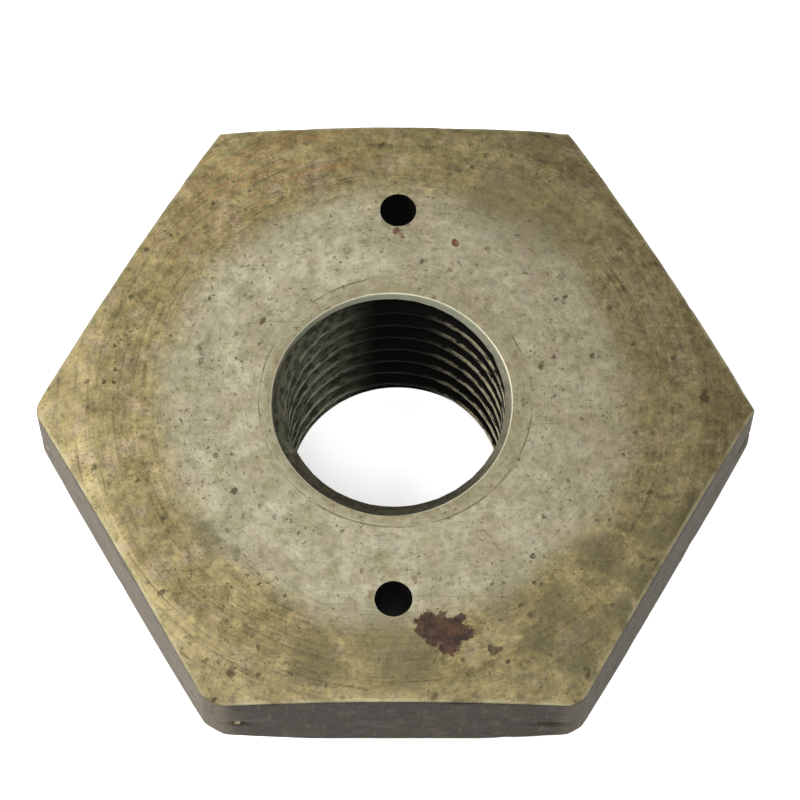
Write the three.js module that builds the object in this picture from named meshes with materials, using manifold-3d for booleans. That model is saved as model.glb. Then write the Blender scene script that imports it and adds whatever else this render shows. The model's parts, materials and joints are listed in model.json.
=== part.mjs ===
// A heavy hexagon nut, turned and tapped from 75 mm hexagon bar steel.
//
// It is one solid piece: a thin hexagonal head, a round boss behind it, a right-hand M30 x 3.5
// thread from end to end, and two small plain holes through the head for a pin spanner.
//
// Frame: millimetres, with the thread axis as the Z axis. The boss stands on the plane z = 0 and
// the broad hexagonal face is at z = TOTAL_HEIGHT. Two flats face +Y and -Y, and two corners
// point along +X and -X.
import * as THREE from "three";
import { mergeVertices } from "three/addons/utils/BufferGeometryUtils.js";
import Module from "manifold-3d";

// Hexagonal head
const ACROSS_FLATS = 75;
const HEAD_THICKNESS = 13.5;
const TOTAL_HEIGHT = 27.5;
const HEAD_BASE_Z = TOTAL_HEIGHT - HEAD_THICKNESS;
const CORNER_DIAMETER = 86.2; // the corners are turned down a little from the full 86.6 mm
const HEXAGON_SIDES = 6;

// The hexagon sits a little off the thread axis.
const HEXAGON_SHIFT_X = -0.2;
const HEXAGON_SHIFT_Y = -0.5;

// Turned cone on the broad face, which takes the sharpness off the six corners
const FACE_FLAT_RADIUS = 36.6;
const FACE_CONE_ANGLE = THREE.MathUtils.degToRad(16);
const BACK_FLAT_RADIUS = 39;
const BACK_CONE_ANGLE = THREE.MathUtils.degToRad(20);

// Boss
const BOSS_RADIUS = 21;
const BOSS_CHAMFER = 1;
const ROOT_FILLET_RADIUS = 1.2;

// Thread, ISO metric coarse: M30 x 3.5
const THREAD_PITCH = 3.5;
const THREAD_MAJOR_RADIUS = 15;
const THREAD_DEPTH = 0.5413 * THREAD_PITCH;
const THREAD_MINOR_RADIUS = THREAD_MAJOR_RADIUS - THREAD_DEPTH;
const CREST_WIDTH = THREAD_PITCH / 4; // flat left on the nut's own crests, at the minor radius
const ROOT_WIDTH = THREAD_PITCH / 8; // flat at the bottom of the groove, at the major radius
const GROOVE_START_ANGLE = THREE.MathUtils.degToRad(255); // where the groove breaks out on top

// Countersinks at the two ends of the thread; the upper one is a little off the thread axis
const FACE_COUNTERSINK_RADIUS = 14.5;
const FACE_COUNTERSINK_SHIFT_X = -0.5;
const FACE_COUNTERSINK_SHIFT_Y = -0.3;
const BACK_COUNTERSINK_RADIUS = 14.2;

// Two small plain holes on a line through the thread axis
const PIN_HOLE_RADIUS = 2.15;
const PIN_HOLE_CIRCLE_RADIUS = 25.4;
const PIN_HOLE_LINE_ANGLE = THREE.MathUtils.degToRad(89.4);
const PIN_HOLE_CHAMFER = 0.1;

// Facets
const TURNED_SEGMENTS = 96;
const THREAD_SEGMENTS = 48;
const PIN_HOLE_SEGMENTS = 24;
const FILLET_SEGMENTS = 4;

const CUT_OVERRUN = 2; // how far each cutter passes the surface that it cuts
const MERGE_DISTANCE = 1e-5;

const wasm = await Module();
wasm.setup();

// A manifold-3d solid from a closed three.js geometry.
function toSolid(geometry) {
  const bare = geometry.clone();
  bare.deleteAttribute("normal");
  bare.deleteAttribute("uv");
  const merged = mergeVertices(bare, MERGE_DISTANCE);
  return new wasm.Manifold(
    new wasm.Mesh({
      numProp: 3,
      vertProperties: new Float32Array(merged.attributes.position.array),
      triVerts: new Uint32Array(merged.index.array),
    }),
  );
}

// A three.js geometry from a manifold-3d solid.
function toGeometry(solid) {
  const mesh = solid.getMesh();
  const geometry = new THREE.BufferGeometry();
  geometry.setAttribute("position", new THREE.BufferAttribute(mesh.vertProperties, 3));
  geometry.setIndex(new THREE.BufferAttribute(mesh.triVerts, 1));
  geometry.computeVertexNormals();
  return geometry;
}

// A solid turned about the Z axis from [radius, z] points, listed from bottom to top.
function turned(profile, segments = TURNED_SEGMENTS) {
  const points = profile.map(([radius, z]) => new THREE.Vector2(radius, z));
  const geometry = new THREE.LatheGeometry(points, segments);
  geometry.rotateX(Math.PI / 2); // LatheGeometry turns about Y
  return geometry;
}

// The hexagonal bar, cut to the thickness of the head.
function hexagonBar() {
  const cornerRadius = ACROSS_FLATS / Math.sqrt(3);
  const outline = new THREE.Shape();
  for (let side = 0; side < HEXAGON_SIDES; side += 1) {
    const angle = (side / HEXAGON_SIDES) * 2 * Math.PI;
    const x = cornerRadius * Math.cos(angle);
    const y = cornerRadius * Math.sin(angle);
    if (side === 0) outline.moveTo(x, y);
    else outline.lineTo(x, y);
  }
  outline.closePath();
  const geometry = new THREE.ExtrudeGeometry(outline, { depth: HEAD_THICKNESS, bevelEnabled: false });
  geometry.translate(HEXAGON_SHIFT_X, HEXAGON_SHIFT_Y, HEAD_BASE_Z);
  return toSolid(geometry);
}

// The round blank that the lathe leaves of the bar: flat faces, a shallow cone at each end of
// the head, and a cylinder just inside the sharp corners.
function turnedBlank() {
  const outerRadius = CORNER_DIAMETER / 2;
  const faceDrop = (outerRadius - FACE_FLAT_RADIUS) * Math.tan(FACE_CONE_ANGLE);
  const backRise = (outerRadius - BACK_FLAT_RADIUS) * Math.tan(BACK_CONE_ANGLE);
  return toSolid(
    turned([
      [0, HEAD_BASE_Z],
      [BACK_FLAT_RADIUS, HEAD_BASE_Z],
      [outerRadius, HEAD_BASE_Z + backRise],
      [outerRadius, TOTAL_HEIGHT - faceDrop],
      [FACE_FLAT_RADIUS, TOTAL_HEIGHT],
      [0, TOTAL_HEIGHT],
    ]),
  );
}

// The boss behind the head, with a chamfered end and the tool's nose radius left in its root.
function boss() {
  const profile = [
    [0, 0],
    [BOSS_RADIUS - BOSS_CHAMFER, 0],
    [BOSS_RADIUS, BOSS_CHAMFER],
  ];
  for (let step = 0; step <= FILLET_SEGMENTS; step += 1) {
    const angle = (step / FILLET_SEGMENTS) * (Math.PI / 2);
    profile.push([
      BOSS_RADIUS + ROOT_FILLET_RADIUS * (1 - Math.cos(angle)),
      HEAD_BASE_Z - ROOT_FILLET_RADIUS * (1 - Math.sin(angle)),
    ]);
  }
  const insideHead = HEAD_BASE_Z + CUT_OVERRUN;
  profile.push([BOSS_RADIUS + ROOT_FILLET_RADIUS, insideHead], [0, insideHead]);
  return toSolid(turned(profile));
}

// The tap: a solid as wide as the thread's groove, wound round a core as wide as its crests.
// Each turn has four rows of points that climb with the helix, so every crest and root edge is
// a true helix. Both ends lie outside the nut and close in a fan on the axis.
function tap() {
  const flankHeight = (THREAD_PITCH - CREST_WIDTH - ROOT_WIDTH) / 2;
  const turnRows = [
    { radius: THREAD_MINOR_RADIUS, rise: 0 },
    { radius: THREAD_MINOR_RADIUS, rise: CREST_WIDTH },
    { radius: THREAD_MAJOR_RADIUS, rise: CREST_WIDTH + flankHeight },
    { radius: THREAD_MAJOR_RADIUS, rise: CREST_WIDTH + flankHeight + ROOT_WIDTH },
  ];
  const rowsPerTurn = turnRows.length;
  const turns = Math.ceil(TOTAL_HEIGHT / THREAD_PITCH) + 3;
  const rowCount = turns * rowsPerTurn;
  // The middle of the groove meets the broad face at GROOVE_START_ANGLE.
  const grooveMiddle = CREST_WIDTH + flankHeight + ROOT_WIDTH / 2;
  const climbToStart = (THREAD_PITCH * GROOVE_START_ANGLE) / (2 * Math.PI);
  const wholeTurnsBelow = turns - 2;
  const bottomZ = TOTAL_HEIGHT - grooveMiddle - climbToStart - wholeTurnsBelow * THREAD_PITCH;

  const positions = [];
  for (let step = 0; step < THREAD_SEGMENTS; step += 1) {
    const turnShare = step / THREAD_SEGMENTS;
    const angle = turnShare * 2 * Math.PI;
    for (let row = 0; row < rowCount; row += 1) {
      const { radius, rise } = turnRows[row % rowsPerTurn];
      const turn = Math.floor(row / rowsPerTurn) + turnShare;
      const z = bottomZ + turn * THREAD_PITCH + rise;
      positions.push(radius * Math.cos(angle), radius * Math.sin(angle), z);
    }
  }
  // After a full turn the helix has climbed by one pitch, so it meets row + rowsPerTurn.
  const pointAt = (step, row) =>
    step === THREAD_SEGMENTS ? row + rowsPerTurn : step * rowCount + row;

  const triangles = [];
  for (let step = 0; step < THREAD_SEGMENTS; step += 1) {
    const lastStep = step === THREAD_SEGMENTS - 1;
    const topRow = lastStep ? rowCount - rowsPerTurn - 1 : rowCount - 1;
    for (let row = 0; row < topRow; row += 1) {
      const low = pointAt(step, row);
      const high = pointAt(step, row + 1);
      const nextLow = pointAt(step + 1, row);
      const nextHigh = pointAt(step + 1, row + 1);
      triangles.push(low, nextLow, nextHigh, low, nextHigh, high);
    }
  }

  const bottomRim = [];
  const topRim = [];
  for (let step = 0; step < THREAD_SEGMENTS; step += 1) {
    bottomRim.push(pointAt(step, 0));
    topRim.push(pointAt(step, rowCount - 1));
  }
  for (let row = rowsPerTurn; row > 0; row -= 1) bottomRim.push(pointAt(0, row));
  for (let down = 1; down <= rowsPerTurn; down += 1) {
    topRim.push(pointAt(THREAD_SEGMENTS - 1, rowCount - 1 - down));
  }
  const bottomCentre = positions.length / 3;
  positions.push(0, 0, bottomZ);
  const topCentre = positions.length / 3;
  positions.push(0, 0, bottomZ + turns * THREAD_PITCH);
  bottomRim.forEach((point, index) => {
    triangles.push(bottomCentre, bottomRim[(index + 1) % bottomRim.length], point);
  });
  topRim.forEach((point, index) => {
    triangles.push(topCentre, point, topRim[(index + 1) % topRim.length]);
  });

  const geometry = new THREE.BufferGeometry();
  geometry.setAttribute("position", new THREE.Float32BufferAttribute(positions, 3));
  geometry.setIndex(triangles);
  return toSolid(geometry);
}

// A 45 degree cone that opens the thread at one end, centred at shiftX, shiftY. direction is +1
// at the broad face and -1 at the end of the boss.
function countersink(rimRadius, faceZ, direction, shiftX, shiftY) {
  const tipRadius = THREAD_MINOR_RADIUS - CUT_OVERRUN;
  const wideRadius = rimRadius + CUT_OVERRUN;
  const tipZ = faceZ - direction * (rimRadius - tipRadius);
  const wideZ = faceZ + direction * CUT_OVERRUN;
  const profile = [
    [0, tipZ],
    [tipRadius, tipZ],
    [wideRadius, wideZ],
    [0, wideZ],
  ];
  if (direction < 0) profile.reverse();
  const geometry = turned(profile);
  geometry.translate(shiftX, shiftY, 0);
  return toSolid(geometry);
}

// One pin-spanner hole through the head, with its edge broken on the broad face.
function pinHole(side) {
  const rim = PIN_HOLE_RADIUS + PIN_HOLE_CHAMFER;
  const geometry = turned(
    [
      [0, HEAD_BASE_Z - CUT_OVERRUN],
      [PIN_HOLE_RADIUS, HEAD_BASE_Z - CUT_OVERRUN],
      [PIN_HOLE_RADIUS, TOTAL_HEIGHT - PIN_HOLE_CHAMFER],
      [rim + CUT_OVERRUN, TOTAL_HEIGHT + CUT_OVERRUN],
      [0, TOTAL_HEIGHT + CUT_OVERRUN],
    ],
    PIN_HOLE_SEGMENTS,
  );
  geometry.translate(
    side * PIN_HOLE_CIRCLE_RADIUS * Math.cos(PIN_HOLE_LINE_ANGLE),
    side * PIN_HOLE_CIRCLE_RADIUS * Math.sin(PIN_HOLE_LINE_ANGLE),
    0,
  );
  return toSolid(geometry);
}

// The countersink on the broad face, off the thread axis.
function faceCountersink() {
  return countersink(
    FACE_COUNTERSINK_RADIUS,
    TOTAL_HEIGHT,
    1,
    FACE_COUNTERSINK_SHIFT_X,
    FACE_COUNTERSINK_SHIFT_Y,
  );
}

// The countersink at the end of the boss, true to the thread.
function backCountersink() {
  return countersink(BACK_COUNTERSINK_RADIUS, 0, -1, 0, 0);
}

function hexNut() {
  const solid = hexagonBar()
    .intersect(turnedBlank())
    .add(boss())
    .subtract(tap())
    .subtract(faceCountersink())
    .subtract(backCountersink())
    .subtract(pinHole(1))
    .subtract(pinHole(-1));
  const steel = new THREE.MeshStandardMaterial({ color: 0x9a8c6c, roughness: 0.55, metalness: 0.85 });
  const mesh = new THREE.Mesh(toGeometry(solid), steel);
  mesh.name = "hex_nut";
  return mesh;
}

const nut = new THREE.Group();
nut.add(hexNut());

export default nut;
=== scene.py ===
"""A worn steel hexagon nut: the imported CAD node, replaced by a finely shaped and finished mesh."""

import functools
import json
import math

import bpy
import numpy as np
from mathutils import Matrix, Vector, noise


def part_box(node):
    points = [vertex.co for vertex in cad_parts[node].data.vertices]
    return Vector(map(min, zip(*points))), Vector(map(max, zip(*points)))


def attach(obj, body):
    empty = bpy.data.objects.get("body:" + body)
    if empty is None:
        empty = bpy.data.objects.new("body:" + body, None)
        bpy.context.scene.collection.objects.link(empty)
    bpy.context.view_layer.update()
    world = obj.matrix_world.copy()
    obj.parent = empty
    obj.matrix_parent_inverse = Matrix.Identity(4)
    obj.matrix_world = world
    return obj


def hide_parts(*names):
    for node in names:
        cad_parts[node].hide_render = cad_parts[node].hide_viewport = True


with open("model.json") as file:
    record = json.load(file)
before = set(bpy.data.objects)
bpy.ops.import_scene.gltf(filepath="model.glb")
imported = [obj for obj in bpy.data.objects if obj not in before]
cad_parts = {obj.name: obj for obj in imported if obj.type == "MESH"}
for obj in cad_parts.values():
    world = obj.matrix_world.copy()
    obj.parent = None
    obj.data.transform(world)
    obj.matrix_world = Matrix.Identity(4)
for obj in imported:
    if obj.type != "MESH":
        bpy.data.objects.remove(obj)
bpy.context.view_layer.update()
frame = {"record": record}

# Shapes below are worked out in millimetres, in the CAD model's own frame, and scaled to metres
# when a mesh is made.
MM = 0.001
FULL_TURN = 2 * math.pi


def mount_place(name):
    """Where one of the record's mounts is, in millimetres."""
    mounts = frame["record"]["mounts"]
    return Vector(next(mount["pos_m"] for mount in mounts if mount["name"] == name)) / MM


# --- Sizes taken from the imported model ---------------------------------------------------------

LOW, HIGH = (Vector(corner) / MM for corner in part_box("hex_nut"))
HEIGHT = HIGH.z
HEAD_BASE = mount_place("head_back_face").z
ACROSS_FLATS = HIGH.y - LOW.y
HEXAGON_CENTRE = (mount_place("wrench_flat_1") + mount_place("wrench_flat_4")) / 2
CORNER_RADIUS = (HIGH.x - LOW.x) / 2

# --- Sizes that repeat the part's own ----------------------------------------------------------

FACE_FLAT_RADIUS = 36.6
FACE_CONE = math.tan(math.radians(16))
BACK_FLAT_RADIUS = 39.0
BACK_CONE = math.tan(math.radians(20))
BOSS_RADIUS = 21.0
BOSS_CHAMFER = 1.0
ROOT_FILLET = 1.2
THREAD_PITCH = 3.5
THREAD_MAJOR = 15.0
THREAD_DEPTH = 0.5413 * THREAD_PITCH
THREAD_MINOR = THREAD_MAJOR - THREAD_DEPTH
GROOVE_START = math.radians(255)
FACE_COUNTERSINK = 14.5
FACE_COUNTERSINK_CENTRE = (-0.5, -0.3)
BACK_COUNTERSINK = 14.2
PIN_HOLE_RADIUS = 2.15
PIN_HOLE_CIRCLE = 25.4
PIN_HOLE_ANGLE = math.radians(89.4)

# --- Fineness of the meshes --------------------------------------------------------------------

STEPS_PER_FLAT = 120
CORNER_CROWDING = 1.35  # above 1, the steps crowd towards the corners
SIDE_RINGS = 26
THREAD_STEPS = 240
HOLE_STEPS = 64
CUTTER_STEPS = 240


# === Mesh helpers ==============================================================================


def ripple(x, y, z, size, seed=0.0):
    """Smooth noise from about -1 to 1 at a point in millimetres, with features of that size."""
    return noise.noise(Vector((x / size + seed, y / size - seed, z / size + 2 * seed)))


def ripple_round(angles, radius, size, seed):
    """ripple() at each angle round a circle."""
    return np.array(
        [ripple(radius * math.cos(a), radius * math.sin(a), 0, size, seed) for a in angles]
    )


def new_object(name, points, faces):
    """A mesh object from points in millimetres."""
    mesh = bpy.data.meshes.new(name)
    mesh.from_pydata((np.asarray(points, float) * MM).tolist(), [], faces)
    mesh.validate()
    piece = bpy.data.objects.new(name, mesh)
    bpy.context.scene.collection.objects.link(piece)
    return piece


def ring_points(angles, radius, height):
    """One ring of points about the thread axis; radius and height may be arrays."""
    radius = np.broadcast_to(radius, angles.shape)
    height = np.broadcast_to(height, angles.shape)
    return np.stack([radius * np.cos(angles), radius * np.sin(angles), height], axis=1)


def closed_rings(name, rings):
    """A closed solid through rings listed from the bottom up, with a fan closing each end."""
    steps = len(rings[0])
    bottom = rings[0].mean(axis=0)
    top = rings[-1].mean(axis=0)
    points = np.concatenate([*rings, [bottom, top]])
    bottom_point = len(points) - 2
    top_point = len(points) - 1
    last = (len(rings) - 1) * steps
    faces = []
    for step in range(steps):
        after = (step + 1) % steps
        faces.append((bottom_point, after, step))
        faces.append((top_point, last + step, last + after))
        for start in range(0, last, steps):
            faces.append((start + step, start + after, start + steps + after, start + steps + step))
    return new_object(name, points, faces)


# === The blank: hexagonal head and boss, before drilling and tapping ============================


def flat_normals():
    """The directions that the six flats face."""
    return [math.radians(30 + 60 * flat) for flat in range(6)]


def head_angles():
    """Angles round the head, crowded towards its corners."""
    spread = np.linspace(-1, 1, STEPS_PER_FLAT, endpoint=False)
    bent = 1 - (1 - np.abs(spread)) ** CORNER_CROWDING
    half_flat = math.pi / 6
    offsets = np.sign(spread) * bent * half_flat
    return np.concatenate([normal + offsets for normal in flat_normals()])


def flat_distance(angles):
    """How far the nearest flat is from the thread axis, in each direction."""
    distances = []
    for normal in flat_normals():
        facing = np.cos(angles - normal)
        shift = HEXAGON_CENTRE.x * math.cos(normal) + HEXAGON_CENTRE.y * math.sin(normal)
        reach = ACROSS_FLATS / 2 + shift
        distances.append(np.where(facing > 0.5, reach / np.maximum(facing, 0.5), 1e3))
    return np.min(distances, axis=0)


def head_outline(angles):
    """The head's radius: its flats, cut off and softly rounded at the turned corners."""
    sharpness = 9.0
    flats = np.exp(-sharpness * (flat_distance(angles) - CORNER_RADIUS))
    return CORNER_RADIUS - np.log(flats + 1) / sharpness


def near_corner(angles, width):
    """1 at each corner of the hexagon, falling to 0 about that many millimetres away."""
    from_corner = np.abs((angles + math.pi / 6) % (math.pi / 3) - math.pi / 6)
    return np.exp(-((from_corner * CORNER_RADIUS / width) ** 2))


def worn_edge(angles, dent_count, seed):
    """How far the edge of the head is worn round, with deeper dents here and there."""
    chance = np.random.default_rng(seed)
    worn = 0.26 + 0.12 * ripple_round(angles, CORNER_RADIUS, 6.0, seed)
    worn = worn + 0.07 * ripple_round(angles, CORNER_RADIUS, 1.5, seed + 1)
    worn = worn + 0.18 * near_corner(angles, 1.2)
    for _ in range(dent_count):
        place = chance.uniform(0, FULL_TURN)
        width = chance.uniform(0.5, 1.6) / CORNER_RADIUS
        depth = chance.uniform(0.08, 0.42)
        away = np.abs((angles - place + math.pi) % FULL_TURN - math.pi)
        worn = worn + depth * np.exp(-((away / width) ** 2))
    return np.clip(worn, 0.12, 0.9)


# Spanner bites on the flats: the corner's angle, the side of it (-1 or 1), the distance along
# the flat to the bite, its height above the head's base, its length and its depth.
SPANNER_BITES = [
    (240, 1, 2.8, 5.6, 1.6, 0.40),
    (300, -1, 3.4, 5.4, 2.0, 0.36),
    (180, 1, 2.2, 4.8, 1.5, 0.42),
    (0, -1, 2.4, 5.0, 1.6, 0.42),
    (120, -1, 3.0, 6.4, 1.8, 0.32),
    (60, 1, 2.6, 4.6, 1.8, 0.34),
    (180, -1, 4.6, 7.4, 1.0, 0.22),
    (0, 1, 5.2, 3.4, 1.2, 0.22),
]


def side_bites(angles, height):
    """How deep the spanner has bitten into the flats at that height."""
    depth = np.zeros_like(angles)
    for corner, side, along, bite_height, length, bite_depth in SPANNER_BITES:
        away = (angles - math.radians(corner) + math.pi) % FULL_TURN - math.pi
        along_flat = (away * CORNER_RADIUS - side * along) / length
        up = (height - HEAD_BASE - bite_height) / 0.45
        depth = depth + bite_depth * np.exp(-(along_flat**2) - up**2)
    return depth


def face_height(radius):
    """The broad face: flat, then a shallow cone towards the corners."""
    return HEIGHT - FACE_CONE * np.maximum(radius - FACE_FLAT_RADIUS, 0)


def back_height(radius):
    """The back of the head: flat, then a short cone at the corners."""
    return HEAD_BASE + BACK_CONE * np.maximum(radius - BACK_FLAT_RADIUS, 0)


def boss_rings(angles):
    """The boss, from the middle of its end face up to the back of the head."""
    rings = [ring_points(angles, radius, 0) for radius in (8, 12, 17, 19.85)]
    soft = 0.12
    start = BOSS_RADIUS - BOSS_CHAMFER
    rings.append(ring_points(angles, start + soft / 2, soft / 4))
    rings.append(ring_points(angles, BOSS_RADIUS - soft / 4, BOSS_CHAMFER - soft / 2))
    for height in np.linspace(BOSS_CHAMFER + soft, HEAD_BASE - ROOT_FILLET, 14):
        turned = 0.03 * np.abs(ripple_round(angles, 6, 4, height))
        rings.append(ring_points(angles, BOSS_RADIUS - turned, height))
    for turn in np.linspace(0, math.pi / 2, 7)[1:]:
        radius = BOSS_RADIUS + ROOT_FILLET * (1 - math.cos(turn))
        rings.append(ring_points(angles, radius, HEAD_BASE - ROOT_FILLET * (1 - math.sin(turn))))
    return rings


def head_rings(angles):
    """The head, from the root of the boss round its edge to the middle of the broad face."""
    outline = head_outline(angles)
    low_edge = worn_edge(angles, dent_count=22, seed=4)
    top_edge = worn_edge(angles, dent_count=34, seed=9)
    rings = []

    root = BOSS_RADIUS + ROOT_FILLET
    for share in np.linspace(0, 1, 12)[1:-1]:
        radius = root + share * (outline - low_edge - root)
        rings.append(ring_points(angles, radius, back_height(radius)))
    for turn in np.linspace(0, math.pi / 2, 6):
        radius = outline - low_edge * (1 - math.sin(turn))
        height = back_height(outline - low_edge) + low_edge * (1 - math.cos(turn))
        rings.append(ring_points(angles, radius, height))

    cone_turn = math.atan(FACE_CONE)
    arc_start = outline - top_edge * (1 - math.sin(cone_turn))
    arc_centre = face_height(arc_start) - top_edge * math.cos(cone_turn)
    side_base = back_height(outline - low_edge) + low_edge
    for share in np.linspace(0, 1, SIDE_RINGS)[1:]:
        height = side_base + share * (arc_centre - side_base)
        rough = 0.05 * np.abs(ripple_round(angles, CORNER_RADIUS, 9, 3 * share))
        radius = outline - side_bites(angles, height) - rough * math.sin(share * math.pi)
        rings.append(ring_points(angles, radius, height))
    for turn in np.linspace(0, math.pi / 2 - cone_turn, 6)[1:]:
        radius = outline - top_edge * (1 - math.cos(turn))
        rings.append(ring_points(angles, radius, arc_centre + top_edge * math.sin(turn)))

    cone_start = np.minimum(FACE_FLAT_RADIUS, arc_start - 0.15)
    for share in np.linspace(1, 0, 7)[1:]:
        radius = cone_start + share * (arc_start - cone_start)
        rings.append(ring_points(angles, radius, face_height(radius)))
    for radius in (36.2, 34, 31, 28, 25, 22, 19, 16.5, 15, 12, 8):
        rings.append(ring_points(angles, radius, HEIGHT))
    return rings


def blank():
    """The head and boss in one closed solid."""
    angles = head_angles()
    return closed_rings("hex_nut_steel", boss_rings(angles) + head_rings(angles))


# === Cutters ===================================================================================

# The shape of one thread groove: how far up the pitch each point is, and how deep in the thread.
# The nut's own crests are at depth 0. Crests and roots are a little rounded.
THREAD_ROWS = [
    (0.000, 0.035),
    (0.035, 0.000),
    (0.215, 0.000),
    (0.250, 0.035),
    (0.280, 0.120),
    (0.530, 0.880),
    (0.562, 0.965),
    (0.600, 1.000),
    (0.650, 1.000),
    (0.688, 0.965),
    (0.720, 0.880),
    (0.970, 0.120),
]
GROOVE_MIDDLE = 0.625  # the share of the pitch at which the groove is deepest
CREST_RAGGEDNESS = 0.16  # how far the worn crests are eaten back, at most


def tap():
    """The helical cutter. Rows of points climb with the helix and join up a pitch higher."""
    per_turn = len(THREAD_ROWS)
    turns = math.ceil(HEIGHT / THREAD_PITCH) + 3
    row_count = turns * per_turn
    top_turns = turns - 2
    bottom = HEIGHT - THREAD_PITCH * (GROOVE_MIDDLE + GROOVE_START / FULL_TURN + top_turns)
    points = []
    for step in range(THREAD_STEPS):
        share = step / THREAD_STEPS
        angle = share * FULL_TURN
        for row in range(row_count):
            rise, depth = THREAD_ROWS[row % per_turn]
            height = bottom + THREAD_PITCH * (row // per_turn + share + rise)
            radius = THREAD_MINOR + THREAD_DEPTH * depth
            x, y = math.cos(angle), math.sin(angle)
            ragged = max(ripple(13 * x, 13 * y, height, 1.1, 3), 0) * (1 - depth)
            radius += CREST_RAGGEDNESS * ragged
            points.append((radius * x, radius * y, height))

    def point_at(step, row):
        return row + per_turn if step == THREAD_STEPS else step * row_count + row

    faces = []
    for step in range(THREAD_STEPS):
        rows = row_count - 1 if step < THREAD_STEPS - 1 else row_count - per_turn - 1
        for row in range(rows):
            faces.append(
                (
                    point_at(step, row),
                    point_at(step + 1, row),
                    point_at(step + 1, row + 1),
                    point_at(step, row + 1),
                )
            )

    bottom_rim = [point_at(step, 0) for step in range(THREAD_STEPS)]
    bottom_rim += [point_at(0, row) for row in range(per_turn, 0, -1)]
    top_rim = [point_at(step, row_count - 1) for step in range(THREAD_STEPS)]
    top_rim += [point_at(THREAD_STEPS - 1, row_count - 1 - down) for down in range(1, per_turn + 1)]
    bottom_centre = len(points)
    points.append((0, 0, bottom))
    top_centre = len(points)
    points.append((0, 0, bottom + turns * THREAD_PITCH))
    for index, point in enumerate(bottom_rim):
        faces.append((bottom_centre, bottom_rim[(index + 1) % len(bottom_rim)], point))
    for index, point in enumerate(top_rim):
        faces.append((top_centre, point, top_rim[(index + 1) % len(top_rim)]))
    return new_object("tap", points, faces)


def lipped_profile(throat, mouth, lip, depth, bottom):
    """Radius and height of a round cutter that flares at 45 degrees and rounds over at the top.

    The cutter is throat wide from bottom up, flares to mouth, and its lip is rounded over."""
    flare_start = mouth - throat
    profile = [(throat, bottom), (throat, depth - flare_start)]
    for turn in np.linspace(0, math.pi / 4, 5):
        radius = mouth + lip * (math.sin(math.pi / 4) - math.cos(math.pi / 4 + turn))
        height = depth - lip * (1 - math.sin(math.pi / 4 + turn))
        profile.append((radius, height))
    widest = profile[-1][0]
    profile.append((widest + 0.02, depth + 0.4))
    profile.append((widest + 0.02, depth + 1.5))
    return profile


def round_cutter(name, profile, centre, steps, wander=0.0, seed=0.0):
    """A closed round solid from a profile, whose rim strays a little from a true circle."""
    angles = np.linspace(0, FULL_TURN, steps, endpoint=False)
    stray = wander * ripple_round(angles, 10, 4, seed)
    rings = []
    for radius, height in profile:
        ring = ring_points(angles, radius + stray, height)
        ring[:, 0] += centre[0]
        ring[:, 1] += centre[1]
        rings.append(ring)
    return closed_rings(name, rings)


def face_countersink():
    throat = 12.6  # narrower than the thread, so that its end never shows
    profile = lipped_profile(throat, FACE_COUNTERSINK - 0.1, 0.22, HEIGHT, HEIGHT - 3)
    return round_cutter(
        "face_countersink", profile, FACE_COUNTERSINK_CENTRE, CUTTER_STEPS, 0.05, 2.0
    )


def back_countersink():
    throat = 12.4  # narrower than the thread, so that its end never shows
    profile = [
        (BACK_COUNTERSINK + 1, -1),
        (BACK_COUNTERSINK + 0.1, -0.1),
        (BACK_COUNTERSINK - 0.06, 0.12),
        (throat, BACK_COUNTERSINK - throat),
    ]
    return round_cutter("back_countersink", profile, (0, 0), CUTTER_STEPS, 0.04, 5.0)


def pin_hole(side):
    x = side * PIN_HOLE_CIRCLE * math.cos(PIN_HOLE_ANGLE)
    y = side * PIN_HOLE_CIRCLE * math.sin(PIN_HOLE_ANGLE)
    profile = lipped_profile(PIN_HOLE_RADIUS, PIN_HOLE_RADIUS + 0.02, 0.1, HEIGHT, HEAD_BASE - 2)
    return round_cutter("pin_hole", profile, (x, y), HOLE_STEPS, 0.04, 7.0 + side)


def cut(piece, cutters):
    """Cut each closed cutter out of the piece, then throw the cutters away."""
    for cutter in cutters:
        modifier = piece.modifiers.new(cutter.name, "BOOLEAN")
        modifier.operation = "DIFFERENCE"
        modifier.solver = "MANIFOLD"
        modifier.object = cutter
    evaluated = piece.evaluated_get(bpy.context.evaluated_depsgraph_get())
    result = bpy.data.meshes.new_from_object(evaluated)
    piece.modifiers.clear()
    blank_mesh = piece.data
    piece.data = result
    bpy.data.meshes.remove(blank_mesh)
    for cutter in cutters:
        cutter_mesh = cutter.data
        bpy.data.objects.remove(cutter)
        bpy.data.meshes.remove(cutter_mesh)


# === Materials =================================================================================


def srgb(red, green, blue):
    """A linear colour from display values of 0 to 255."""

    def linear(value):
        share = value / 255
        return share / 12.92 if share <= 0.04045 else ((share + 0.055) / 1.055) ** 2.4

    return (linear(red), linear(green), linear(blue), 1.0)


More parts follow.
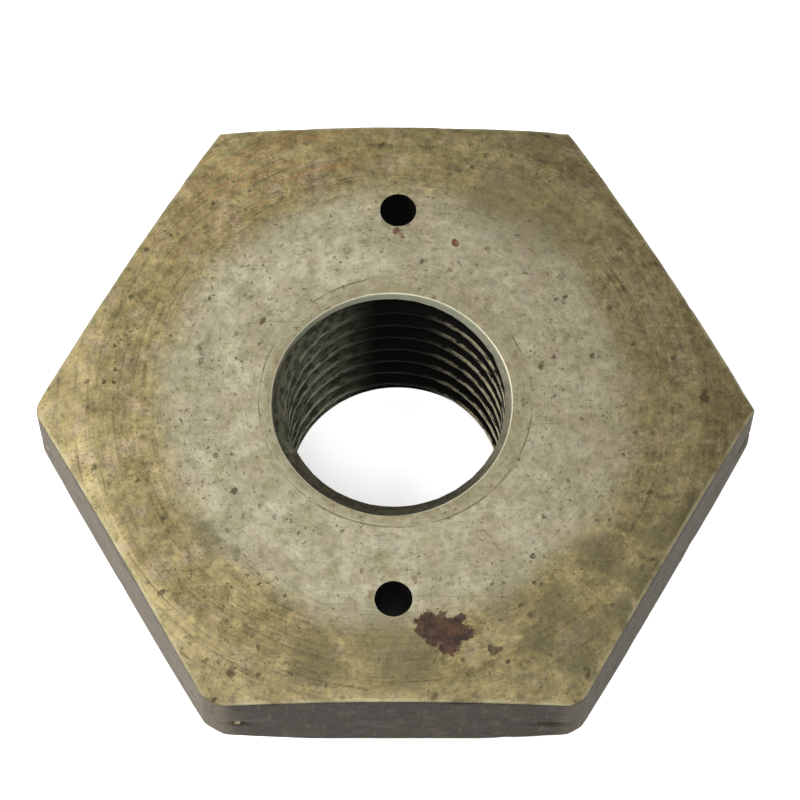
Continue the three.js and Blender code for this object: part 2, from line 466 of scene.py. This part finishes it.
class Graph:
    """A material's nodes, with short ways to add and join them. Its places are in millimetres."""

    def __init__(self, name):
        self.material = bpy.data.materials.new(name)
        self.material.use_nodes = True
        self.tree = self.material.node_tree
        self.tree.nodes.clear()
        self.shader = self.tree.nodes.new("ShaderNodeBsdfPrincipled")
        output = self.tree.nodes.new("ShaderNodeOutputMaterial")
        self.tree.links.new(self.shader.outputs["BSDF"], output.inputs["Surface"])
        coordinates = self.tree.nodes.new("ShaderNodeTexCoord").outputs["Object"]
        self.place = self.vector("SCALE", coordinates, scale=1 / MM)
        split = self.tree.nodes.new("ShaderNodeSeparateXYZ")
        self.feed(split.inputs[0], self.place)
        self.x, self.y, self.z = split.outputs
        self.radius = self.math(
            "SQRT", self.math("ADD", self.math("POWER", self.x, 2), self.math("POWER", self.y, 2))
        )

    def feed(self, socket, value):
        if isinstance(value, bpy.types.NodeSocket):
            self.tree.links.new(value, socket)
        else:
            socket.default_value = value

    def math(self, operation, *values, clamp=False):
        node = self.tree.nodes.new("ShaderNodeMath")
        node.operation = operation
        node.use_clamp = clamp
        for socket, value in zip(node.inputs, values):
            self.feed(socket, value)
        return node.outputs[0]

    def total(self, *values):
        """The sum of several values."""
        return functools.reduce(lambda first, second: self.math("ADD", first, second), values)

    def product(self, *values):
        """The product of several values."""
        return functools.reduce(lambda first, second: self.math("MULTIPLY", first, second), values)

    def strongest(self, *values):
        """The largest of several values."""
        return functools.reduce(lambda first, second: self.math("MAXIMUM", first, second), values)

    def vector(self, operation, *values, scale=None):
        node = self.tree.nodes.new("ShaderNodeVectorMath")
        node.operation = operation
        for socket, value in zip(node.inputs, values):
            self.feed(socket, value)
        if scale is not None:
            self.feed(node.inputs["Scale"], scale)
        return node.outputs["Value" if operation in ("LENGTH", "DOT_PRODUCT") else "Vector"]

    def combine(self, x, y, z):
        node = self.tree.nodes.new("ShaderNodeCombineXYZ")
        for socket, value in zip(node.inputs, (x, y, z)):
            self.feed(socket, value)
        return node.outputs[0]

    def step(self, value, low, high, result_low=0.0, result_high=1.0):
        """Smoothly from result_low at low to result_high at high. low may be above high."""
        node = self.tree.nodes.new("ShaderNodeMapRange")
        node.interpolation_type = "SMOOTHSTEP"
        ends = (low, high, result_low, result_high)
        if low > high:
            ends = (high, low, result_high, result_low)
        self.feed(node.inputs["Value"], value)
        for name, end in zip(("From Min", "From Max", "To Min", "To Max"), ends):
            self.feed(node.inputs[name], end)
        return node.outputs["Result"]

    def mix(self, factor, first, second):
        """A colour between first, at factor 0, and second, at factor 1."""
        node = self.tree.nodes.new("ShaderNodeMix")
        node.data_type = "RGBA"
        self.feed(node.inputs[0], factor)
        self.feed(node.inputs[6], first)
        self.feed(node.inputs[7], second)
        return node.outputs[2]

    def shade(self, colour, brightness):
        """The colour made lighter or darker by a factor."""
        return self.vector("SCALE", colour, scale=brightness)

    def vary(self, noise_value, amount):
        """Noise from 0 to 1 turned into a change of either sign, amount times as large."""
        return self.math("MULTIPLY", self.math("SUBTRACT", noise_value, 0.5), amount)

    def cloud(self, place, size, detail=3.0, roughness=0.55, distortion=0.0, offset=0.0):
        """Noise from 0 to 1 with features of about that size in millimetres."""
        node = self.tree.nodes.new("ShaderNodeTexNoise")
        moved = self.vector("ADD", place, (offset, -offset, 2 * offset)) if offset else place
        self.feed(node.inputs["Vector"], moved)
        self.feed(node.inputs["Scale"], 1 / size)
        self.feed(node.inputs["Detail"], detail)
        self.feed(node.inputs["Roughness"], roughness)
        self.feed(node.inputs["Distortion"], distortion)
        return node.outputs[0]

    def round_lines(self, width, length, detail=4.0, offset=0.0):
        """Noise drawn out into arcs about the thread axis, that wide and about that long."""
        inverse = self.math("DIVIDE", 20.0 / length, self.radius)
        x = self.math("MULTIPLY", self.x, inverse)
        y = self.math("MULTIPLY", self.y, inverse)
        across = self.math("DIVIDE", self.radius, width)
        return self.cloud(self.combine(across, x, y), 1.0, detail, 0.6, 0.0, offset)

    def scratches(self, angle, width, length, offset=0.0):
        """Noise drawn out into straight scratches at an angle on the face."""
        node = self.tree.nodes.new("ShaderNodeMapping")
        self.feed(node.inputs["Vector"], self.place)
        self.feed(node.inputs["Rotation"], (0.0, 0.0, math.radians(angle)))
        self.feed(node.inputs["Scale"], (1 / length, 1 / width, 1 / width))
        return self.cloud(node.outputs[0], 1.0, 2.0, 0.5, 0.0, offset)

    def specks(self, spacing, size, share, offset=0.0):
        """Spots about that size, one in each cell of that spacing, in only a share of cells."""
        node = self.tree.nodes.new("ShaderNodeTexVoronoi")
        moved = self.vector("ADD", self.place, (offset, offset, offset))
        ruffle = self.cloud(self.place, 0.35, 2.0)
        moved = self.vector("ADD", moved, self.vector("SCALE", (1, 1, 1), scale=ruffle))
        self.feed(node.inputs["Vector"], moved)
        self.feed(node.inputs["Scale"], 1 / spacing)
        self.feed(node.inputs["Randomness"], 1.0)
        chance = self.tree.nodes.new("ShaderNodeSeparateXYZ")
        self.feed(chance.inputs[0], node.outputs["Color"])
        reach = self.math("MULTIPLY", chance.outputs[1], size / spacing)
        near = self.step(self.math("DIVIDE", node.outputs["Distance"], reach), 1.0, 0.55)
        chosen = self.math("LESS_THAN", chance.outputs[0], share)
        return self.math("MULTIPLY", near, chosen)

    def stains(self, spots, ragged, soft):
        """Where round stains lie on the broad face: the strongest of (x, y, radius, strength).

        Their outlines stray by about ragged millimetres, and soft is the share of the radius over
        which they fade."""
        stray = self.vector(
            "SCALE",
            self.vector(
                "SUBTRACT",
                self.combine(
                    self.cloud(self.place, 1.6, 4.0),
                    self.cloud(self.place, 1.6, 4.0, offset=9.0),
                    0.5,
                ),
                (0.5, 0.5, 0.5),
            ),
            scale=4 * ragged,
        )
        place = self.vector("MULTIPLY", self.vector("ADD", self.place, stray), (1, 1, 0))
        result = 0.0
        for x, y, radius, strength in spots:
            away = self.vector("LENGTH", self.vector("SUBTRACT", place, (x, y, 0)))
            spot = self.step(away, (1 + soft) * radius, (1 - soft) * radius, 0.0, strength)
            result = self.math("MAXIMUM", result, spot)
        return result

    def from_flats(self):
        """How far inside the nearest wrench flat a point is, in millimetres."""
        furthest = None
        centred = self.vector("SUBTRACT", self.place, tuple(HEXAGON_CENTRE))
        for normal in flat_normals():
            direction = (math.cos(normal), math.sin(normal), 0)
            reach = self.vector("DOT_PRODUCT", centred, direction)
            furthest = reach if furthest is None else self.math("MAXIMUM", furthest, reach)
        return self.math("SUBTRACT", ACROSS_FLATS / 2, furthest)

    def finish(self, colour, metallic, roughness, height, strength=1.0):
        """Join up the shader. height is the relief of the surface in millimetres."""
        self.feed(self.shader.inputs["Base Color"], colour)
        self.feed(self.shader.inputs["Metallic"], metallic)
        self.feed(self.shader.inputs["Roughness"], roughness)
        bump = self.tree.nodes.new("ShaderNodeBump")
        self.feed(bump.inputs["Strength"], strength)
        self.feed(bump.inputs["Distance"], MM)
        self.feed(bump.inputs["Height"], height)
        self.feed(self.shader.inputs["Normal"], bump.outputs[0])
        return self.material


# Marks on the broad face, as x, y, radius in millimetres and strength.
DARK_RUST = [
    (4.4, -29.0, 2.0, 1.0),
    (6.8, -29.4, 1.8, 1.0),
    (6.4, -31.4, 1.2, 1.0),
    (3.0, -29.6, 0.9, 0.9),
    (5.2, -27.5, 0.8, 0.9),
    (7.8, -27.9, 0.6, 0.9),
    (11.5, -31.8, 0.8, 0.75),
]
RED_RUST = [
    (0.1, 22.6, 0.5, 0.9),
    (0.8, 22.1, 0.3, 0.8),
    (7.3, 20.9, 0.45, 1.0),
    (6.6, 17.3, 0.4, 0.7),
    (-14.2, 5.0, 0.4, 0.4),
    (14.5, 6.0, 0.6, 0.4),
    (2.0, -22.8, 0.4, 0.5),
    (-2.9, -25.0, 0.5, 0.5),
]
SMUDGES = [
    (1.2, -33.2, 3.2, 0.75),
    (-1.6, -29.8, 3.4, 0.45),
    (-9.4, -33.2, 2.8, 0.5),
    (-22.9, -16.3, 1.4, 0.7),
    (-21.6, -18.2, 1.2, 0.7),
    (-18.6, -19.6, 0.9, 0.7),
    (19.0, -26.6, 2.6, 0.6),
    (20.8, -32.5, 2.4, 0.8),
    (22.5, -29.4, 2.0, 0.7),
    (13.0, -25.0, 3.0, 0.4),
    (33.4, -15.4, 1.6, 0.95),
    (35.2, -13.2, 1.1, 0.9),
    (-23.3, 6.7, 0.8, 0.8),
    (-18.0, 13.3, 0.6, 0.8),
    (13.0, 26.0, 4.5, 0.4),
    (18.0, 22.0, 4.0, 0.35),
    (24.0, -20.0, 2.4, 0.85),
    (28.5, -23.0, 2.0, 0.85),
    (16.5, -30.5, 2.0, 0.85),
    (30.5, -17.5, 1.8, 0.85),
    (26.5, -27.0, 1.6, 0.85),
]


class FaceDetail:
    """The noise and marks that the broad face's colour, gloss and relief share."""

    def __init__(self, graph):
        self.blotches = graph.cloud(graph.place, 4.0, 5.0, 0.62, offset=3.0)
        self.mottle = graph.cloud(graph.place, 1.4, 5.0, 0.74, offset=8.0)
        self.grain = graph.cloud(graph.place, 0.36, 2.0, 0.6, offset=5.0)
        self.lines = graph.round_lines(0.55, 14.0, 5.0)
        self.strokes = graph.round_lines(0.3, 2.2, 3.0, offset=4.0)
        self.add_bands(graph)
        self.add_specks(graph)
        self.add_stains(graph)

    def add_bands(self, graph):
        """Where the rubbed band ends, and the ring scribed round the bore."""
        patches = graph.cloud(graph.place, 12.0, 3.0)
        strayed = graph.total(
            graph.radius, graph.vary(patches, 6.0), graph.vary(self.blotches, 7.0)
        )
        self.outer = graph.step(strayed, 25.5, 30.5)
        off_ring = graph.math("ABSOLUTE", graph.math("SUBTRACT", graph.radius, 16.35))
        self.ring = graph.product(
            graph.step(off_ring, 0.16, 0.04), graph.step(self.blotches, 0.42, 0.58)
        )

    def add_specks(self, graph):
        """Flecks, short strokes along the turning marks, hairline scratches and pits."""
        crowded = graph.step(graph.cloud(graph.place, 6.0, 3.0, offset=41.0), 0.38, 0.6, 0.4, 1.0)
        small = graph.step(graph.cloud(graph.place, 0.55, 3.0, 0.6, offset=17.0), 0.58, 0.68)
        short = graph.product(graph.step(self.strokes, 0.58, 0.7), self.outer)
        self.flecks = graph.strongest(
            graph.product(small, crowded), graph.product(short, crowded, 0.8)
        )
        self.pale_flecks = graph.step(
            graph.cloud(graph.place, 0.8, 3.0, 0.6, offset=27.0), 0.56, 0.72
        )
        hairlines = graph.strongest(
            graph.scratches(38, 0.13, 8.0), graph.scratches(-57, 0.12, 6.0, offset=6.0)
        )
        self.hairlines = graph.product(graph.step(hairlines, 0.69, 0.76), crowded)
        self.pits = graph.product(
            graph.strongest(
                graph.specks(1.6, 0.5, 0.5), graph.specks(4.3, 0.9, 0.5, offset=7.3)
            ),
            crowded,
        )

    def add_stains(self, graph):
        """Smudges of dirt and patches of rust."""
        patchy = graph.step(self.mottle, 0.36, 0.6, 0.15, 1.0)
        self.smudges = graph.product(graph.stains(SMUDGES, 1.2, 0.5), patchy)
        self.dark_rust = graph.stains(DARK_RUST, 0.8, 0.12)
        self.red_rust = graph.product(
            graph.stains(RED_RUST, 0.5, 0.4), graph.step(self.grain, 0.3, 0.5, 0.4, 1.0)
        )


def face_steel(graph, detail):
    """The colour of the broad face's steel: tan with age, paler where it has rubbed, with painted
    shade towards +X.
    """
    cloudy = graph.step(detail.blotches, 0.35, 0.65)
    tan = graph.mix(cloudy, srgb(123, 110, 70), srgb(140, 127, 87))
    grey = graph.mix(cloudy, srgb(142, 136, 110), srgb(163, 158, 134))
    colour = graph.mix(detail.outer, grey, tan)
    pinkish = graph.cloud(graph.place, 3.4, 4.0, offset=21.0)
    colour = graph.mix(graph.step(pinkish, 0.5, 0.68, 0, 0.45), colour, srgb(152, 134, 114))
    olive = graph.cloud(graph.place, 1.8, 5.0, 0.6, offset=33.0)
    colour = graph.mix(graph.step(olive, 0.5, 0.7, 0, 0.5), colour, srgb(122, 116, 76))
    # Painted shade: darker towards +X and +Y, away from the light; also darker towards the rim at
    # -Y.
    across = graph.total(graph.x, graph.product(graph.y, 0.4), graph.vary(detail.blotches, 12.0))
    painted_shade_towards_x = graph.product(
        graph.step(across, -6.0, 40.0, 0, 0.62), graph.step(detail.outer, 0, 1, 0.7, 1.15)
    )
    colour = graph.mix(painted_shade_towards_x, colour, srgb(92, 83, 54))
    towards_rim = graph.total(graph.product(graph.y, -1), graph.vary(detail.blotches, 8.0))
    return graph.mix(graph.step(towards_rim, 25.0, 36.0, 0, 0.28), colour, srgb(98, 88, 58))


def face_wear(graph, detail, colour):
    """Add turning marks, speckle and scratches to the broad face's colour."""
    broken = graph.step(graph.cloud(graph.place, 5.0, 3.0, offset=14.0), 0.42, 0.62)
    grooves = graph.product(graph.step(detail.lines, 0.46, 0.34), detail.outer, broken, 0.6)
    colour = graph.mix(grooves, colour, srgb(88, 74, 42))
    brown = graph.product(
        graph.step(detail.lines, 0.5, 0.6),
        graph.step(graph.y, 14.0, 26.0),
        graph.step(graph.x, 2.0, -12.0),
        graph.step(graph.radius, 28.0, 33.0, 0, 0.5),
    )
    colour = graph.mix(brown, colour, srgb(128, 92, 54))
    ridged = graph.product(graph.vary(detail.lines, 0.6), detail.outer)
    brightness = graph.total(
        1.0,
        graph.vary(detail.mottle, 1.15),
        graph.vary(detail.grain, 0.25),
        graph.vary(detail.strokes, 0.4),
        graph.product(graph.vary(detail.mottle, 1.1), detail.outer),
        graph.product(graph.vary(detail.grain, 0.4), detail.outer),
        graph.product(graph.vary(detail.blotches, 0.7), detail.outer),
        ridged,
    )
    colour = graph.shade(colour, brightness)
    colour = graph.mix(graph.product(detail.flecks, 0.75), colour, srgb(76, 66, 38))
    colour = graph.mix(graph.product(detail.pale_flecks, 0.16), colour, srgb(180, 172, 140))
    colour = graph.mix(graph.product(detail.hairlines, 0.45), colour, srgb(92, 82, 54))
    return graph.mix(graph.product(detail.pits, 0.85), colour, srgb(58, 48, 26))


def face_dirt(graph, detail, colour):
    """Add the oil round the bore, smudges, rust, and the pale edge: partly worn bare, partly a
    painted highlight.
    """
    oil = graph.product(
        graph.step(graph.radius, 17.0, 15.0), graph.step(detail.blotches, 0.4, 0.62, 0.1, 0.6)
    )
    colour = graph.mix(oil, colour, srgb(108, 98, 62))
    colour = graph.mix(graph.product(detail.ring, 0.7), colour, srgb(78, 68, 42))
    colour = graph.mix(detail.smudges, colour, srgb(76, 73, 50))
    brown = graph.mix(graph.step(detail.mottle, 0.35, 0.65), srgb(34, 22, 14), srgb(78, 54, 36))
    colour = graph.mix(detail.dark_rust, colour, brown)
    colour = graph.mix(detail.red_rust, colour, srgb(84, 44, 22))
    # Painted highlight, partly real wear: a pale band along the edge of the face.
    edge = graph.product(
        graph.step(graph.from_flats(), 0.55, 0.15), graph.step(detail.blotches, 0.38, 0.6, 0.2, 0.8)
    )
    return graph.mix(edge, colour, srgb(152, 145, 114))


def worn_face():
    """The broad face: old turned steel, tan with age, rubbed pale where it has borne."""
    graph = Graph("worn_face")
    detail = FaceDetail(graph)
    colour = face_steel(graph, detail)
    colour = face_wear(graph, detail, colour)
    colour = face_dirt(graph, detail, colour)
    rust = graph.strongest(detail.dark_rust, detail.red_rust)
    roughness = graph.total(
        0.52,
        graph.vary(detail.mottle, 0.5),
        graph.vary(detail.strokes, 0.3),
        graph.product(rust, 0.25),
    )
    metallic = graph.math("SUBTRACT", 0.35, graph.product(rust, 0.35))
    height = graph.total(
        graph.product(detail.lines, graph.step(graph.radius, 24.0, 34.0, 0.012, 0.05)),
        graph.product(detail.strokes, 0.025),
        graph.product(detail.mottle, 0.05),
        graph.product(detail.grain, 0.015),
        graph.product(detail.pits, -0.07),
        graph.product(detail.flecks, -0.02),
        graph.product(detail.hairlines, -0.02),
        graph.product(detail.ring, -0.03),
        graph.product(detail.dark_rust, detail.mottle, 0.15),
    )
    graph.feed(graph.shader.inputs["Specular IOR Level"], 0.35)
    return graph.finish(colour, metallic, roughness, height)


# Painted light: how lit each of three flats is painted, by the way it faces in degrees. The rest are
# shaded.
PAINTED_LIGHT_FLATS = [(210, 1.0), (330, 0.45), (150, 0.6)]


def painted_flat_light(graph):
    """How far a place on the sides of the hexagon is painted lit rather than shaded."""
    result = 0.0
    for facing, strength in PAINTED_LIGHT_FLATS:
        angle = math.radians(facing)
        reach = graph.vector("DOT_PRODUCT", graph.place, (math.cos(angle), math.sin(angle), 0))
        near = graph.step(reach, ACROSS_FLATS / 2 - 2.6, ACROSS_FLATS / 2 - 0.9, 0.0, strength)
        result = graph.math("MAXIMUM", result, near)
    return result


def bar_flats():
    """The sides of the hexagon: drawn bar, brown and dull, with painted light and shade on its
    flats.
    """
    graph = Graph("bar_flats")
    patches = graph.cloud(graph.place, 5.0, 4.0)
    mottle = graph.cloud(graph.place, 1.2, 5.0, 0.7, offset=8.0)
    drawn_down = graph.vector("MULTIPLY", graph.place, (1, 1, 0.2))
    streaks = graph.cloud(drawn_down, 0.6, 4.0, 0.6, offset=2.0)
    # Painted light and shade: dark is the shaded colour of the flats, pale the lit one.
    dark = graph.mix(patches, srgb(31, 27, 18), srgb(54, 47, 34))
    pale = graph.mix(patches, srgb(78, 70, 56), srgb(104, 95, 77))
    colour = graph.mix(painted_flat_light(graph), dark, pale)
    colour = graph.mix(graph.step(mottle, 0.52, 0.7, 0, 0.5), colour, srgb(60, 48, 36))
    pinkish = graph.cloud(graph.place, 2.6, 4.0, offset=12.0)
    colour = graph.mix(graph.step(pinkish, 0.5, 0.66, 0, 0.4), colour, srgb(82, 68, 60))
    colour = graph.mix(graph.step(streaks, 0.56, 0.75, 0, 0.4), colour, srgb(100, 92, 78))
    colour = graph.shade(colour, graph.total(1.0, graph.vary(mottle, 1.1)))
    below_edge = graph.step(graph.z, HEIGHT - 2.8, HEIGHT - 0.8, 0, 0.5)
    colour = graph.mix(below_edge, colour, srgb(40, 33, 26))
    pits = graph.specks(1.4, 0.5, 0.4)
    colour = graph.mix(graph.product(pits, 0.8), colour, srgb(26, 22, 16))
    roughness = graph.total(0.6, graph.vary(mottle, 0.4))
    height = graph.total(
        graph.product(streaks, 0.05), graph.product(mottle, 0.12), graph.product(pits, -0.1)
    )
    graph.feed(graph.shader.inputs["Specular IOR Level"], 0.1)
    return graph.finish(colour, 0.05, roughness, height)


def turned_back():
    """The boss and the back of the head: turned steel, little rubbed, brown with old oil."""
    graph = Graph("turned_back")
    patches = graph.cloud(graph.place, 8.0, 4.0)
    mottle = graph.cloud(graph.place, 1.3, 5.0, 0.7, offset=8.0)
    lines = graph.round_lines(0.3, 30.0, 4.0)
    round_boss = graph.vector("MULTIPLY", graph.place, (0.05, 0.05, 1.0))
    feed_marks = graph.cloud(round_boss, 0.22, 3.0, offset=2.0)
    colour = graph.mix(patches, srgb(104, 92, 62), srgb(142, 133, 104))
    colour = graph.mix(graph.step(mottle, 0.5, 0.72, 0, 0.6), colour, srgb(80, 66, 40))
    colour = graph.mix(graph.step(lines, 0.48, 0.34, 0, 0.5), colour, srgb(74, 64, 40))
    colour = graph.mix(graph.step(feed_marks, 0.46, 0.32, 0, 0.4), colour, srgb(82, 72, 48))
    colour = graph.shade(colour, graph.total(1.0, graph.vary(mottle, 1.0)))
    pits = graph.specks(1.6, 0.5, 0.4)
    colour = graph.mix(graph.product(pits, 0.8), colour, srgb(46, 38, 22))
    roughness = graph.total(0.48, graph.vary(mottle, 0.5))
    height = graph.total(
        graph.product(lines, 0.05),
        graph.product(feed_marks, 0.03),
        graph.product(mottle, 0.05),
        graph.product(pits, -0.07),
    )
    return graph.finish(colour, 0.4, roughness, height)


def oily_thread():
    """The thread: black with old oil and dirt, its crests worn in broken dashes and given painted
    highlights.
    """
    graph = Graph("oily_thread")
    mottle = graph.cloud(graph.place, 1.0, 5.0, 0.7)
    along_helix = graph.vector("MULTIPLY", graph.place, (1.0, 1.0, 5.0))
    dashes = graph.cloud(along_helix, 1.6, 4.0, 0.7, offset=6.0)
    crest = graph.step(graph.radius, THREAD_MINOR + 0.2, THREAD_MINOR + 0.04)
    # Painted highlight: crests are lit only towards -X and +X; towards +Y and -Y they stay black.
    lit_side_walls = graph.step(graph.math("ABSOLUTE", graph.x), 3.0, 12.0)
    crest_wear_and_highlight = graph.product(crest, lit_side_walls, graph.step(dashes, 0.4, 0.54))
    colour = graph.mix(mottle, srgb(3, 3, 2), srgb(14, 14, 11))
    film = graph.product(graph.step(graph.x, -2.0, -11.0), graph.step(dashes, 0.38, 0.6, 0.25, 0.8))
    colour = graph.mix(film, colour, srgb(104, 104, 86))
    # Painted highlight: the crests are painted brighter towards +X, the wall that faces the light.
    worn = graph.mix(graph.step(graph.x, -6, 6), srgb(146, 144, 124), srgb(176, 166, 136))
    colour = graph.mix(crest_wear_and_highlight, colour, worn)
    roughness = graph.math("SUBTRACT", 0.65, graph.product(crest_wear_and_highlight, 0.2))
    graph.feed(graph.shader.inputs["Specular IOR Level"], 0.03)
    return graph.finish(colour, graph.product(crest_wear_and_highlight, 0.4), roughness, graph.product(mottle, 0.15))


def countersunk_rim():
    """The cone at each end of the thread: darker turned steel with oil in it, painted light and
    shade by side, and a painted highlight on its lip.
    """
    graph = Graph("countersunk_rim")
    mottle = graph.cloud(graph.place, 1.2, 5.0, 0.7)
    lines = graph.round_lines(0.14, 12.0, 3.0)
    colour = graph.mix(graph.step(mottle, 0.35, 0.65), srgb(50, 48, 37), srgb(96, 92, 74))
    # Painted light: lighter towards +X and +Y, where the cone faces the light, darker towards -Y, in
    # shade.
    colour = graph.mix(graph.step(graph.x, 4.0, 13.0, 0, 0.35), colour, srgb(140, 136, 112))
    colour = graph.mix(graph.step(graph.y, 2.0, 12.0, 0, 0.8), colour, srgb(130, 132, 112))
    colour = graph.mix(graph.step(graph.y, -4.0, -13.0, 0, 0.7), colour, srgb(48, 46, 34))
    # Painted highlight: a pale line along the top of the cone.
    lip = graph.step(graph.z, HEIGHT - 0.16, HEIGHT - 0.05)
    colour = graph.mix(lip, colour, srgb(176, 172, 148))
    roughness = graph.total(0.45, graph.vary(mottle, 0.4))
    height = graph.total(graph.product(lines, 0.03), graph.product(mottle, 0.05))
    return graph.finish(colour, 0.3, roughness, height)


def dirty_hole():
    """Inside the small holes: black with packed dirt."""
    graph = Graph("dirty_hole")
    mottle = graph.cloud(graph.place, 0.8, 5.0, 0.65)
    colour = graph.mix(mottle, srgb(3, 3, 2), srgb(16, 13, 9))
    graph.feed(graph.shader.inputs["Specular IOR Level"], 0.08)
    return graph.finish(colour, 0.0, 0.8, graph.product(mottle, 0.08))


def pale_floor():
    """A plain, nearly white studio floor, lit a little from below as a light table is."""
    graph = Graph("pale_floor")
    tone = graph.cloud(graph.place, 60.0, 2.0)
    colour = graph.mix(tone, (0.84, 0.84, 0.84, 1.0), (0.88, 0.88, 0.875, 1.0))
    graph.feed(graph.shader.inputs["Emission Color"], (1.0, 1.0, 1.0, 1.0))
    graph.feed(graph.shader.inputs["Emission Strength"], 0.56)
    return graph.finish(colour, 0.0, 0.85, graph.math("MULTIPLY", tone, 0.01))


FACE, FLATS, BACK, THREAD, RIM, HOLE = range(6)
RIM_REACH = 0.8  # how far past its own radius the off-centre countersink can reach
ON_END_FACE = 0.002  # closer than this to an end counts as lying on it
NEARLY_FLAT = 0.97  # above this, a face points straight enough up or down to be an end face


def surface_of(centre, normal):
    """Which finish a face of the nut takes, from its place in millimetres and its direction."""
    radius = math.hypot(centre.x, centre.y)
    from_end = min(centre.z, HEIGHT - centre.z)
    in_bore = radius < FACE_COUNTERSINK + RIM_REACH and from_end > ON_END_FACE
    if in_bore and abs(normal.z) < NEARLY_FLAT:
        upper = centre.z > HEIGHT / 2
        cone_x, cone_y = FACE_COUNTERSINK_CENTRE if upper else (0, 0)
        cone_radius = math.hypot(centre.x - cone_x, centre.y - cone_y)
        mouth = FACE_COUNTERSINK if upper else BACK_COUNTERSINK
        on_cone = abs(mouth - from_end - cone_radius) < 0.2 and abs(normal.z) > 0.3
        return RIM if on_cone else THREAD
    hole_x = PIN_HOLE_CIRCLE * math.cos(PIN_HOLE_ANGLE)
    hole_y = PIN_HOLE_CIRCLE * math.sin(PIN_HOLE_ANGLE)
    for side in (-1, 1):
        reach = math.hypot(centre.x - side * hole_x, centre.y - side * hole_y)
        if reach < PIN_HOLE_RADIUS + 0.5 and abs(normal.z) < 0.98 and centre.z > HEAD_BASE - 0.5:
            return HOLE
    if normal.z > 0.5:
        return FACE
    if radius > BACK_FLAT_RADIUS - 5 and normal.z > -0.5:
        return FLATS
    return BACK


def paint(piece):
    """Give the nut its finishes, and smooth shading with crisp machined edges."""
    finishes = [worn_face, bar_flats, turned_back, oily_thread, countersunk_rim, dirty_hole]
    mesh = piece.data
    mesh.materials.clear()
    for finish in finishes:
        mesh.materials.append(finish())
    for face in mesh.polygons:
        face.material_index = surface_of(face.center / MM, face.normal)
    mesh.shade_smooth()
    mesh.set_sharp_from_angle(angle=math.radians(32))


# === Camera, lights and floor ==================================================================


def camera():
    """Looking steeply down on the broad face from the front, from a hand's length or two away."""
    elevation = math.radians(65.97)
    distance = 0.450
    lens = 169.5
    sensor_width = 36.0
    aim = Vector((0.0005, 0.0, HEIGHT * MM))
    data = bpy.data.cameras.new("camera")
    data.lens = lens
    data.sensor_width = sensor_width
    data.clip_start = 0.01
    made = bpy.data.objects.new("camera", data)
    towards = Vector((0.0, -math.cos(elevation), math.sin(elevation)))
    made.location = aim + distance * towards
    made.rotation_euler = towards.to_track_quat("Z", "Y").to_euler()
    bpy.context.scene.collection.objects.link(made)
    bpy.context.scene.camera = made


def soft_light(name, place, size, power):
    """A square soft light that faces the nut."""
    data = bpy.data.lights.new(name, "AREA")
    data.shape = "SQUARE"
    data.size = size
    data.energy = power
    made = bpy.data.objects.new(name, data)
    made.location = place
    made.rotation_euler = Vector(place).to_track_quat("Z", "Y").to_euler()
    bpy.context.scene.collection.objects.link(made)


def lighting():
    world = bpy.data.worlds.new("studio")
    world.use_nodes = True
    world.node_tree.nodes["Background"].inputs["Color"].default_value = (1.0, 1.0, 1.0, 1.0)
    world.node_tree.nodes["Background"].inputs["Strength"].default_value = 0.36
    bpy.context.scene.world = world
    soft_light("key", (-0.60, 0.10, 0.68), 0.45, 8.2)
    soft_light("front", (0.0, -0.41, 0.92), 0.30, 5.0)
    bpy.context.scene.view_settings.view_transform = "Standard"


def floor():
    size = 3000.0
    drop = -0.05  # a hair below the boss, so that the two faces don't coincide
    corners = [(-size, -size, drop), (size, -size, drop), (size, size, drop), (-size, size, drop)]
    made = new_object("floor", corners, [(0, 1, 2, 3)])
    made.data.materials.append(pale_floor())


# === Scene =====================================================================================

camera()
lighting()
floor()

nut = blank()
cutters = [tap(), face_countersink(), back_countersink(), pin_hole(1), pin_hole(-1)]
cut(nut, cutters)
paint(nut)
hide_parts("hex_nut")
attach(nut, "root")
